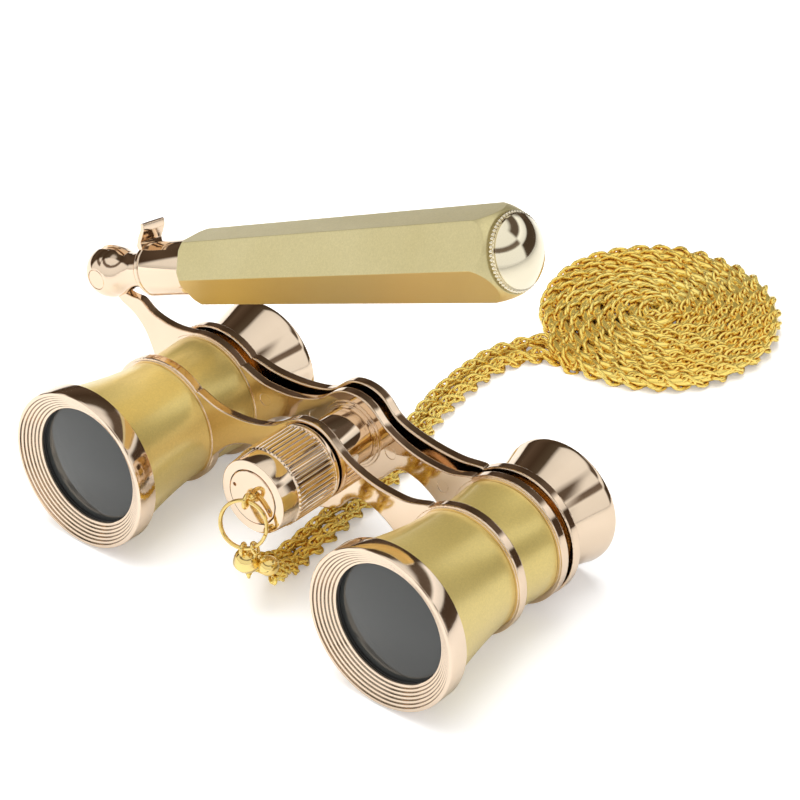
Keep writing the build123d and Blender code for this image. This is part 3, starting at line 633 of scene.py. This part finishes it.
def fluted(angle, radius, y):
    """Radius of the knob, with round-bottomed flutes cut into its grip."""
    if not (FLUTE_START + 0.02 < y < FLUTE_END - 0.02 and radius > GRIP_EDGE):
        return radius
    off_middle = abs((angle * FLUTES / FULL_TURN) % 1.0 - 0.5) * 2
    depth = FLUTE_DEPTH * max(0.0, 1 - (off_middle / FLUTE_SHARE) ** 2) ** 0.5
    return radius - depth * min(1.0, (y - FLUTE_START) / FLUTE_FADE, (FLUTE_END - y) / FLUTE_FADE)


def make_knob():
    profile = (rounded(KNOB_FRONT, closed=False) + [(GRIP_RADIUS, y) for y in GRIP_STATIONS]
               + rounded(KNOB_TAIL, closed=False) + KNOB_INSIDE)
    finish_piece(lathe("focus_knob_grip", profile, FOCUS_ORIGIN, POLISH,
                       FLUTES * SEGMENTS_PER_FLUTE, sharp=35, groove=fluted), "focus_knob")


def make_nut_cap():
    dome = [(CAP_RADIUS * math.cos(a), CAP_DOME_START + CAP_DOME_HEIGHT * math.sin(a))
            for a in np.linspace(0.04, math.pi / 2, 14)[:-1]]
    profile = [(0, CAP_START), (CAP_RADIUS, CAP_START), (CAP_RADIUS, CAP_WALL_END), *dome,
               (0, CAP_DOME_START + CAP_DOME_HEIGHT)]
    finish_piece(lathe("nut_cap_dome", profile, FOCUS_ORIGIN, POLISH, 96, closed=False), "nut_cap")


make_knob()
finish_piece(lathe("centre_tube_polished", rounded(CENTRE_TUBE), FOCUS_ORIGIN, POLISH, 128),
             "centre_tube")
make_nut_cap()

# --------------------------------------------------------------- handle pieces
# Heights are distances from the pivot along the handle.
FERRULE = [(4.63, 13.50, 0), (5.45, 13.50, 0.34), (5.45, 25.60, 0.22), (4.63, 25.60, 0)]
BEAD_RING_START = 106.3
BEAD_RING_LENGTH = 1.18
BEAD_RING_GAP = 0.03
BEAD_RING_INNER, BEAD_RING_OUTER = 5.62, 6.85
BEADS = 58
BEAD_RADIUS = 0.385
BEAD_CIRCLE = 6.90
DOME_STEM_START, DOME_STEM_RADIUS = 99.2, 5.54
DOME_START = BEAD_RING_START + BEAD_RING_LENGTH
DOME_RADIUS = 6.60
DOME_HEIGHT = 2.90
DOME_WALL = 0.2  # straight wall under the curve
ON_HANDLE = {"axis": HANDLE_AXIS, "radial": HANDLE_ACROSS}


def make_dome():
    rise = DOME_HEIGHT - DOME_WALL
    sphere = (DOME_RADIUS**2 + rise**2) / (2 * rise)
    top = DOME_START + DOME_HEIGHT
    curve = [(sphere * math.sin(a), top - sphere + sphere * math.cos(a))
             for a in np.linspace(math.asin(DOME_RADIUS / sphere), 0, 24)[:-1]]
    profile = [(0, DOME_STEM_START), (DOME_STEM_RADIUS, DOME_STEM_START),
               (DOME_STEM_RADIUS, DOME_START), (DOME_RADIUS, DOME_START), *curve, (0, top)]
    finish_piece(lathe("dome_polished", profile, HANDLE_PIVOT, PALE, 144, closed=False, sharp=40,
                       **ON_HANDLE), "handle_dome")


def make_beaded_ring():
    start = BEAD_RING_START + BEAD_RING_GAP
    end = BEAD_RING_START + BEAD_RING_LENGTH - BEAD_RING_GAP
    band = [(BEAD_RING_INNER, start), (BEAD_RING_OUTER, start), (BEAD_RING_OUTER, end),
            (BEAD_RING_INNER, end)]
    parts = [turned_part(band, HANDLE_PIVOT, seg=96, **ON_HANDLE)]
    middle = HANDLE_PIVOT + HANDLE_AXIS * (BEAD_RING_START + BEAD_RING_LENGTH / 2)
    for centre in circle(middle, HANDLE_ACROSS, HANDLE_SIDE, BEAD_CIRCLE, BEADS):
        parts.append(ball_part(centre, BEAD_RADIUS, rows=7, cols=10))
    finish_piece(joined("beaded_ring_beads", parts, PALE, sharp=50), "beaded_ring")


finish_piece(lathe("ferrule_polished", rounded(FERRULE, steps=5), HANDLE_PIVOT, POLISH, 144,
                   **ON_HANDLE), "ferrule")
make_dome()
make_beaded_ring()

# --------------------------------------------------------------- lanyard rings
RING_YAW = math.radians(18)
RING_TILT = math.radians(15)
cos_yaw, sin_yaw = math.cos(RING_YAW), math.sin(RING_YAW)
cos_tilt, sin_tilt = math.cos(RING_TILT), math.sin(RING_TILT)
RING_ACROSS = np.array([cos_yaw, sin_yaw, 0.0])
RING_DOWN = np.array([sin_yaw * sin_tilt, -cos_yaw * sin_tilt, -cos_tilt])
RING_NORMAL = np.array([sin_yaw * cos_tilt, -cos_yaw * cos_tilt, sin_tilt])

EYELET_CENTRE = np.array([0.0, 6.40, KNOB_Z])
EYELET_RADIUS = 1.22
EYELET_WIRE = 0.40
EYELET_COLLAR = [(0.001, 7.32, 0), (0.55, 7.22, 0.1), (0.80, 7.62, 0.1), (0.80, 10.5, 0),
                 (0.001, 10.5, 0)]

RING_RADIUS = 4.6
RING_CENTRE = EYELET_CENTRE + RING_RADIUS * RING_DOWN
RING_WIRE = 0.35
RING_TURNS = 1.9
RING_SPREAD = 0.62  # sideways travel of the wire from end to end
RING_POINTS = 150
RING_START = math.radians(115)

END_LOOP_RADIUS = 1.12
END_LOOP_WIRE = 0.32
END_LOOP_OFFSET = 0.35
STRAND_GAP = 0.5
# tag: angle on the split ring in degrees, point aimed at, ring to ball centre, ball radius
CHAIN_ENDS = {
    "a": (5.0, (1.30, 6.00, -5.35), 4.00, 2.55),
    "b": (34.0, (5.40, 7.00, -5.10), 5.05, 1.95),
}


def ring_point(angle):
    return RING_CENTRE + RING_RADIUS * (math.cos(angle) * RING_DOWN
                                        + math.sin(angle) * RING_ACROSS)


def make_eyelet():
    """Wire loop on a collar that stands on the knob's end disc."""
    loop = circle(EYELET_CENTRE, RING_NORMAL, np.cross(RING_ACROSS, RING_NORMAL),
                  EYELET_RADIUS, 39)
    parts = [wire_part(loop, EYELET_WIRE, sides=12, closed=True),
             turned_part(rounded(EYELET_COLLAR), FOCUS_ORIGIN, Y, X, seg=32, closed=False)]
    finish_piece(joined("eyelet_wire", parts, YELLOW, sharp=45), "chain_eyelet")


def make_split_ring():
    """One wire laid round nearly twice."""
    path = []
    for i in range(RING_POINTS):
        share = i / (RING_POINTS - 1)
        path.append(ring_point(RING_START + share * RING_TURNS * FULL_TURN)
                    + RING_NORMAL * ((share - 0.5) * RING_SPREAD))
    wire = wire_part(path, RING_WIRE, sides=10)
    finish_piece(joined("split_ring_wire", [wire], YELLOW, sharp=60), "split_ring")


def ball_profile(ball):
    """Ball of two cups with a raised seam and a small neck on the side of the ring."""
    def cup(steps):
        angles = [-math.pi / 2 + math.pi * k / 24 for k in steps]
        return [(ball * math.cos(a), ball * math.sin(a)) for a in angles]

    neck = [(0.001, -ball - 0.45), (0.52, -ball - 0.40), (0.66, -ball - 0.12), (0.60, -ball + 0.10)]
    seam = [(ball * 1.05, -0.18), (ball * 1.07, 0.0), (ball * 1.05, 0.18)]
    end = [(0.55, ball + 0.05), (0.001, ball + 0.10)]
    return neck + cup(range(4, 12)) + seam + cup(range(13, 22)) + end


def make_chain_end(tag, degrees, aim, drop, ball):
    """Loop and ball hanging from the split ring: returns where the strand starts."""
    angle = math.radians(degrees)
    hang = ring_point(angle)
    along = -math.sin(angle) * RING_DOWN + math.cos(angle) * RING_ACROSS
    towards = np.array(aim) - hang
    down = unit(towards - (towards @ along) * along)
    side = np.cross(down, along)
    ball_centre = hang + drop * down
    loop = circle(hang + END_LOOP_OFFSET * down, down, side, END_LOOP_RADIUS, 27)
    parts = [wire_part(loop, END_LOOP_WIRE, sides=9, closed=True),
             turned_part(ball_profile(ball), ball_centre, down, side, seg=40, closed=False)]
    finish_piece(joined(f"chain_end_ball_{tag}", parts, YELLOW, sharp=40), f"chain_end_{tag}")
    return ball_centre + down * (ball + STRAND_GAP)


make_eyelet()
make_split_ring()
strand_starts = {tag: make_chain_end(tag, *end) for tag, end in CHAIN_ENDS.items()}

# ----------------------------------------------------------------------- chain
CHAIN_LIFT = 1.30  # centre of a chain above the floor
LINK_TWIST = math.pi + math.radians(27)  # turn about the rope from link to link
LINK_LEAN = math.radians(31)
LINK_ROLL = math.radians(62)
# shares of the rope's width
LINK_OFFSET = 0.33
LINK_HALF_LENGTH = 0.52
LINK_HALF_WIDTH = 0.27
LINK_SEGMENTS = 12
LINK_SIDES = 6
STRAND_SEED = 8
COIL_SEED = 21

# Leads are (x, y, z) in the air, runs are (x, y) on the floor.
STRANDS = {
    "a": {
        "lead": [(-0.8, 11.8, -9.6), (-1.8, 15.4, -12.2), (-2.7, 19.6, -13.7)],
        "run": [(-3.0, 25.0), (-3.6, 33.0), (-4.4, 42.0), (-5.0, 52.0), (-7.3, 61.5),
                (-9.9, 69.5), (-11.6, 77.0), (-12.5, 85.0), (-12.6, 92.0), (-11.9, 98.8),
                (-9.6, 104.0), (-7.4, 107.6), (-4.8, 108.9), (-1.8, 107.9)],
    },
    "b": {
        "lead": [(3.4, 12.4, -9.8), (2.2, 16.0, -12.1), (1.1, 20.2, -13.5)],
        "run": [(0.4, 25.6), (-0.2, 33.0), (-1.0, 42.0), (-1.7, 51.0), (-4.0, 60.0),
                (-6.6, 68.4), (-8.3, 76.4), (-9.2, 85.0), (-9.2, 91.6), (-8.2, 97.8),
                (-5.6, 102.4), (-2.6, 105.0), (1.2, 105.2), (4.6, 104.6)],
    },
}

COIL_X, COIL_Y = 6.5, 131.3
COIL_RADIUS = 25.6
COIL_INNER_RADIUS = 1.2
COIL_PITCH = 2.55
COIL_START = math.radians(-118)
COIL_TURNS = 9.7  # upper limit: the inner radius ends the coil just before
COIL_SAMPLES_PER_TURN = 60


def rope_part(path, pitch, width, wire, seed):
    """Rope chain: oval links along a path, each leaning and turned a step further round it."""
    rnd = random.Random(seed)
    points = np.array(path, float)
    along = chord_lengths(points)
    verts, faces = [], []
    floor_up = unit([0.0, -REST_SLOPE, 1.0])
    spin = rnd.uniform(0, 6.28)
    for k in range(int(along[-1] / pitch) + 1):
        place = k * pitch
        i = min(max(int(np.searchsorted(along, place, side="right")) - 1, 0), len(points) - 2)
        share = (place - along[i]) / max(along[i + 1] - along[i], 1e-9)
        on_path = points[i] * (1 - share) + points[i + 1] * share
        tangent = unit(points[min(i + 2, len(points) - 1)] - points[max(i - 1, 0)])
        side = unit(np.cross(floor_up, tangent))
        up = np.cross(tangent, side)
        # alternate links sit on opposite flanks of the rope, and the pair turns along it
        angle = spin + k * LINK_TWIST + rnd.uniform(-0.20, 0.20)
        radial = side * math.cos(angle) + up * math.sin(angle)
        around = np.cross(tangent, radial)
        centre = on_path + radial * (LINK_OFFSET * width)
        lean = LINK_LEAN + rnd.uniform(-0.22, 0.22)
        long_dir = unit(tangent * math.cos(lean) + around * math.sin(lean))
        face = unit(np.cross(long_dir, radial) * math.sin(LINK_ROLL)
                    + radial * math.cos(LINK_ROLL))
        short_dir = unit(np.cross(face, long_dir))
        base = len(verts)
        for m in range(LINK_SEGMENTS):
            a = FULL_TURN * m / LINK_SEGMENTS
            long_part, short_part = long_dir * math.cos(a), short_dir * math.sin(a)
            oval = (long_part * (LINK_HALF_LENGTH * width)
                    + short_part * (LINK_HALF_WIDTH * width))
            out = unit(long_part / LINK_HALF_LENGTH + short_part / LINK_HALF_WIDTH)
            row = base + m * LINK_SIDES
            next_row = base + (m + 1) % LINK_SEGMENTS * LINK_SIDES
            for j in range(LINK_SIDES):
                b = FULL_TURN * j / LINK_SIDES
                j2 = (j + 1) % LINK_SIDES
                verts.append(centre + oval + (out * math.cos(b) + face * math.sin(b)) * wire)
                faces.append((row + j, next_row + j, next_row + j2, row + j2))
    return verts, faces


def lay(x, y, height=0.0):
    """Point of a chain that lies on the floor."""
    return (x, y, rest_z(y) + CHAIN_LIFT + height)


def coil_path():
    """Spiral inwards whose rows waver a little sideways and ride up over each other."""
    path = []
    for i in range(int(COIL_TURNS * COIL_SAMPLES_PER_TURN) + 1):
        turns = i / COIL_SAMPLES_PER_TURN
        radius = COIL_RADIUS - COIL_PITCH * turns
        if radius < COIL_INNER_RADIUS:
            break
        angle = COIL_START + FULL_TURN * turns
        waver = 0.25 * (0.55 * math.sin(angle * 3.0 + turns * 2.1) + 0.35 * math.sin(angle * 7.0))
        ripple = 0.45 * (1 + math.sin(angle * 2.0 + turns * 1.7)) * 0.5
        # the heap grows towards the middle
        heap = 0.9 * (1 - radius / 26.0) * (0.5 + 0.5 * math.sin(turns * 3.3 + angle))
        path.append(lay(COIL_X + (radius + waver) * math.cos(angle),
                        COIL_Y + (radius + waver) * math.sin(angle),
                        0.35 + ripple + heap))
    return path


def make_strand(tag, start, lead, run):
    """Links round a thin core, from a chain end down to the floor and along it."""
    below = start + unit(np.array(lead[0]) - start) * 1.6 + np.array([0, 0, -0.5])
    line = smooth_curve([start, below, *lead, *(lay(x, y) for x, y in run)], 260)
    parts = [rope_part(line, pitch=0.66, width=2.75, wire=0.36, seed=STRAND_SEED),
             wire_part(line, 0.62, sides=6)]
    strand = joined(f"chain_links_{tag}", parts, CHAIN)
    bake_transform(strand)
    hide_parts(f"chain_strand_{tag}")


def make_coil():
    line = smooth_curve(coil_path(), 1500)
    parts = [rope_part(line, pitch=0.70, width=2.90, wire=0.38, seed=COIL_SEED),
             wire_part(line, 1.02, sides=8)]
    coil = joined("chain_coil_links", parts, CHAIN)
    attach(coil, "frame")
    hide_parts("chain_coil")


for tag, strand in STRANDS.items():
    make_strand(tag, strand_starts[tag], **strand)
make_coil()

# ----------------------------------------------------------------------- floor
# From here on, lengths are in metres.
FLOOR_HALF = 3
FLOOR_GAP = 0.03 * MM


def floor_material():
    """White that glows to the camera, more so far out, so that it runs into the backdrop."""
    material, tree, shader = new_surface("floor_white")
    mottle = noise(tree, object_coords(tree), scale=6.0, detail=2.0)
    colour = ramp(tree, mottle, [(0.2, grey(0.86)), (0.8, grey(0.90))])
    seen = add(tree, "ShaderNodeLightPath").outputs["Is Camera Ray"]
    distance = add(tree, "ShaderNodeVectorMath", {0: object_coords(tree)}, operation="LENGTH")
    glow = map_range(tree, distance.outputs["Value"], from_min=0.35, from_max=1.1,
                     to_min=0.30, to_max=1.0, smooth=True)
    lift = add(tree, "ShaderNodeMath", {0: seen, 1: glow}, operation="MULTIPLY")
    set_inputs(shader, {
        "Roughness": 0.55,
        "Specular IOR Level": 0.2,
        "Base Color": colour,
        "Emission Color": (1, 1, 1, 1),
        "Emission Strength": lift.outputs[0],
    })
    return material


def drop_with_handle(floor):
    """The handle can swing below the floor: the floor then drops out of its way."""
    drop = floor.constraints.new("TRANSFORM")
    drop.target = frame["bodies"]["handle_base"]
    drop.map_from = "LOCATION"
    drop.map_to = "LOCATION"
    drop.from_min_z, drop.from_max_z = -0.025, -0.010
    drop.map_to_x_from, drop.map_to_y_from, drop.map_to_z_from = "X", "Y", "Z"
    drop.to_min_z, drop.to_max_z = -0.20, 0.0
    drop.target_space = "WORLD"
    drop.owner_space = "WORLD"
    drop.mix_mode = "ADD"


def make_floor():
    mesh = bpy.data.meshes.new("floor")
    half = FLOOR_HALF
    mesh.from_pydata([(-half, -half, 0), (half, -half, 0), (half, half, 0), (-half, half, 0)],
                     [], [(0, 1, 2, 3)])
    floor = bpy.data.objects.new("floor", mesh)
    scene.collection.objects.link(floor)
    floor.rotation_euler = (math.atan(REST_SLOPE), 0, 0)
    floor.location = (0, BEZEL_END_Y * MM, -BEZEL_RADIUS * MM - FLOOR_GAP)
    mesh.materials.append(floor_material())
    drop_with_handle(floor)


make_floor()

# ----------------------------------------------------------------------- world
# What the metal reflects: white panels with dark gaps. Stops are (height of direction, colour).
BROWN = (0.060, 0.040, 0.026)
DARK = (0.12, 0.09, 0.07)
FRONT_PANELS = [
    (0.0, grey(0.80)), (0.05, grey(0.95)), (0.45, grey(1.0)), (0.50, (0.20, 0.16, 0.13)),
    (0.60, (0.16, 0.12, 0.10)), (0.66, grey(0.95)), (1.0, grey(1.0))]
BACK_LEFT_PANELS = [
    (0.0, DARK), (0.10, BROWN), (0.30, (0.10, 0.07, 0.05)), (0.58, BROWN),
    (0.80, (0.09, 0.07, 0.05)), (0.86, grey(0.85)), (1.0, grey(1.0))]
BACK_RIGHT_PANELS = [
    (0.0, (0.08, 0.055, 0.04)), (0.40, BROWN), (0.45, grey(0.85)), (0.62, grey(1.15)),
    (0.68, DARK), (0.83, DARK), (0.90, grey(0.95)), (1.0, grey(1.0))]


def make_world():
    """Studio panels for reflections and light, plain white for the camera."""
    world = bpy.data.worlds.new("studio")
    scene.world = world
    world.use_nodes = True
    tree = world.node_tree
    tree.nodes.clear()
    coords = add(tree, "ShaderNodeTexCoord").outputs["Generated"]
    direction = add(tree, "ShaderNodeSeparateXYZ", {"Vector": coords}).outputs
    front, back_left, back_right = (
        ramp(tree, direction["Z"], panels)
        for panels in (FRONT_PANELS, BACK_LEFT_PANELS, BACK_RIGHT_PANELS))
    to_right = map_range(tree, direction["X"], from_min=-0.12, from_max=0.06, smooth=True)
    back = mix_colours(tree, back_left, back_right, factor=to_right)
    # the border between front and back is turned a little about Z
    turned = add(tree, "ShaderNodeMath", {0: direction["X"], 1: -0.45, 2: direction["Y"]},
                 operation="MULTIPLY_ADD")
    to_back = map_range(tree, turned.outputs[0], from_min=-0.06, from_max=0.10, smooth=True)
    colour = mix_colours(tree, front, back, factor=to_back)
    panels = add(tree, "ShaderNodeBackground", {"Color": colour, "Strength": 1.0})
    white = add(tree, "ShaderNodeBackground", {"Color": (1, 1, 1, 1), "Strength": 1.0})
    seen = add(tree, "ShaderNodeLightPath").outputs["Is Camera Ray"]
    mixed = add(tree, "ShaderNodeMixShader", {0: seen, 1: panels.outputs[0], 2: white.outputs[0]})
    add(tree, "ShaderNodeOutputWorld", {"Surface": mixed.outputs[0]})


make_world()

# ---------------------------------------------------------------------- lights
LIGHT_AIM = (0, 0.04, 0)


def softbox(name, location, size, power):
    """Rectangular light aimed at the glasses and left out of reflections."""
    light = bpy.data.lights.new(name, "AREA")
    light.shape = "RECTANGLE"
    light.size, light.size_y = size
    light.energy = power
    obj = bpy.data.objects.new(name, light)
    scene.collection.objects.link(obj)
    obj.location = location
    direction = Vector(LIGHT_AIM) - Vector(location)
    obj.rotation_euler = direction.to_track_quat("-Z", "Y").to_euler()
    obj.visible_glossy = False


softbox("softbox_top", location=(-0.15, 0.10, 0.75), size=(0.7, 0.7), power=5.0)
softbox("softbox_left", location=(-0.75, -0.35, 0.40), size=(0.5, 0.6), power=3.6)

scene.view_settings.view_transform = "Standard"
scene.view_settings.look = "None"
scene.cycles.use_denoising = True

# ---------------------------------------------------------------------- camera
CAMERA_PLACE = (0.2752, -0.3061, 0.2983)
CAMERA_AZIMUTH = math.radians(37.62)  # from -Y towards +X
CAMERA_ELEVATION = math.radians(32.79)
CAMERA_ROLL = math.radians(2.59)
SENSOR_WIDTH = 36.0  # mm
FOCAL_LENGTH = 124.89075  # mm


def make_camera():
    azimuth, elevation, roll = CAMERA_AZIMUTH, CAMERA_ELEVATION, CAMERA_ROLL
    level = np.array([math.cos(azimuth), math.sin(azimuth), 0])
    back = np.array([math.sin(azimuth) * math.cos(elevation),
                     -math.cos(azimuth) * math.cos(elevation), math.sin(elevation)])
    upright = np.cross(back, level)
    right = level * math.cos(roll) + upright * math.sin(roll)
    up = -level * math.sin(roll) + upright * math.cos(roll)
    data = bpy.data.cameras.new("camera")
    camera = bpy.data.objects.new("camera", data)
    scene.collection.objects.link(camera)
    data.sensor_width = SENSOR_WIDTH
    data.lens = FOCAL_LENGTH
    data.clip_start = 0.01
    data.clip_end = 20.0
    rows = [tuple(row) for row in zip(right, up, back, CAMERA_PLACE)]
    camera.matrix_world = Matrix((*rows, (0, 0, 0, 1)))
    scene.camera = camera


make_camera()
